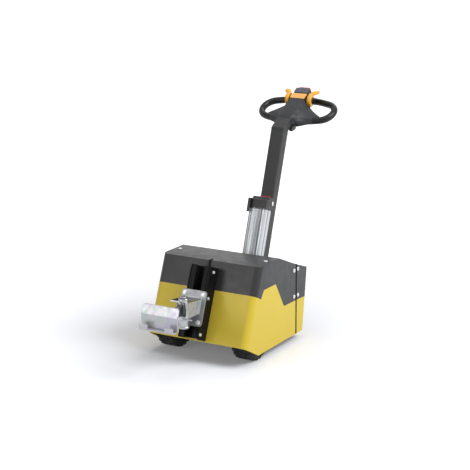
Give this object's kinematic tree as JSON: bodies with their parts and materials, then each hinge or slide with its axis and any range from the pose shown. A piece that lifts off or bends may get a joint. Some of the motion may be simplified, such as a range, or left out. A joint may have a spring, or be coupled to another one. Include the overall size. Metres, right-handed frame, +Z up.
{
  "type": "electric tow tractor",
  "caption": "Compact walk-behind electric tow tractor with a tiller, a battery pack on the tiller, drive wheels under a sloped hood and a height-adjustable hitch with a push plate.",
  "frame": {"origin": "on the floor, under the middle of the overall length, on the machine's middle plane", "axes": "+X the machine's right side, +Y towards the operator's end, -Y the hitch end, +Z up"},
  "size_m": [0.456, 1.2291, 0.9827],
  "materials": {
    "body_paint": "satin, dark grey above and yellow below",
    "frame_paint": "satin",
    "mast_paint": "satin",
    "tiller_paint": "fine texture",
    "motor_paint": "matt",
    "cast_housing": "as cast",
    "cast_ballast": "as cast",
    "zinc_steel": "zinc plated",
    "bright_steel": "turned",
    "wheel_alloy": "satin",
    "battery_alloy": "anodised",
    "tyre_rubber": "matt",
    "castor_rubber": "matt",
    "black_plastic": "fine grain",
    "grip_plastic": "soft sheen",
    "grey_plastic": "fine grain",
    "orange_plastic": "satin",
    "red_plastic": "satin"
  },
  "bodies": {
    "chassis": {"hood": "body_paint", "tail_cover": "body_paint", "deck": "frame_paint", "front_bulkhead": "frame_paint", "drive_housing": "cast_housing", "drive_motor": "motor_paint", "ballast": "cast_ballast", "castor_head": "zinc_steel", "tiller_foot": "frame_paint", "tiller_pin": "bright_steel", "mast": "mast_paint"},
    "left_wheel": {"drive_tyre_left": "tyre_rubber", "drive_wheel_left": "wheel_alloy", "drive_shaft_left": "bright_steel"},
    "right_wheel": {"drive_tyre_right": "tyre_rubber", "drive_wheel_right": "wheel_alloy", "drive_shaft_right": "bright_steel"},
    "castor": {"castor_fork": "zinc_steel", "castor_pin": "bright_steel"},
    "castor_roller": {"castor_wheel": "black_plastic", "castor_tyre": "castor_rubber"},
    "tiller": {"tiller_tube": "tiller_paint", "tiller_neck": "tiller_paint", "battery_cradle": "frame_paint", "battery": "battery_alloy", "battery_cap": "black_plastic", "battery_latch": "black_plastic", "battery_lens": "red_plastic", "console": "grey_plastic", "grip_left": "grip_plastic", "grip_right": "grip_plastic", "thumb_paddle_left": "orange_plastic", "thumb_paddle_right": "orange_plastic", "reverse_button": "red_plastic", "switch_box": "black_plastic"},
    "hitch_carriage": {"hitch_slider": "bright_steel", "hitch_plate": "zinc_steel", "hitch_bracket": "zinc_steel", "hitch_pin": "bright_steel"},
    "hitch_arm": {"hitch_tongue": "zinc_steel", "push_plate": "zinc_steel", "push_hook_left": "zinc_steel", "push_hook_right": "zinc_steel"}
  },
  "joints": [
    {"name": "left_wheel_spin", "type": "hinge", "parent": "chassis", "child": "left_wheel", "pos_m": [-0.1755, -0.197, 0.1], "axis": [1, 0, 0], "continuous": true},
    {"name": "right_wheel_spin", "type": "hinge", "parent": "chassis", "child": "right_wheel", "pos_m": [0.1755, -0.197, 0.1], "axis": [1, 0, 0], "continuous": true},
    {"name": "castor_swivel", "type": "hinge", "parent": "chassis", "child": "castor", "pos_m": [0, 0.04, 0.105], "axis": [0, 0, 1], "continuous": true},
    {"name": "castor_spin", "type": "hinge", "parent": "castor", "child": "castor_roller", "pos_m": [0, 0.072, 0.05], "axis": [1, 0, 0], "continuous": true},
    {"name": "tiller_tilt", "type": "hinge", "parent": "chassis", "child": "tiller", "pos_m": [0, 0.14, 0.156], "axis": [-1, 0, 0], "range_deg": [0, 40]},
    {"name": "hitch_height", "type": "slide", "parent": "chassis", "child": "hitch_carriage", "axis": [0, 0.3677, 0.93], "range_m": [-0.05, 0.08]},
    {"name": "hitch_swing", "type": "hinge", "parent": "hitch_carriage", "child": "hitch_arm", "pos_m": [0, -0.414, 0.247], "axis": [0, 0, 1], "range_deg": [-18, 18]}
  ]
}
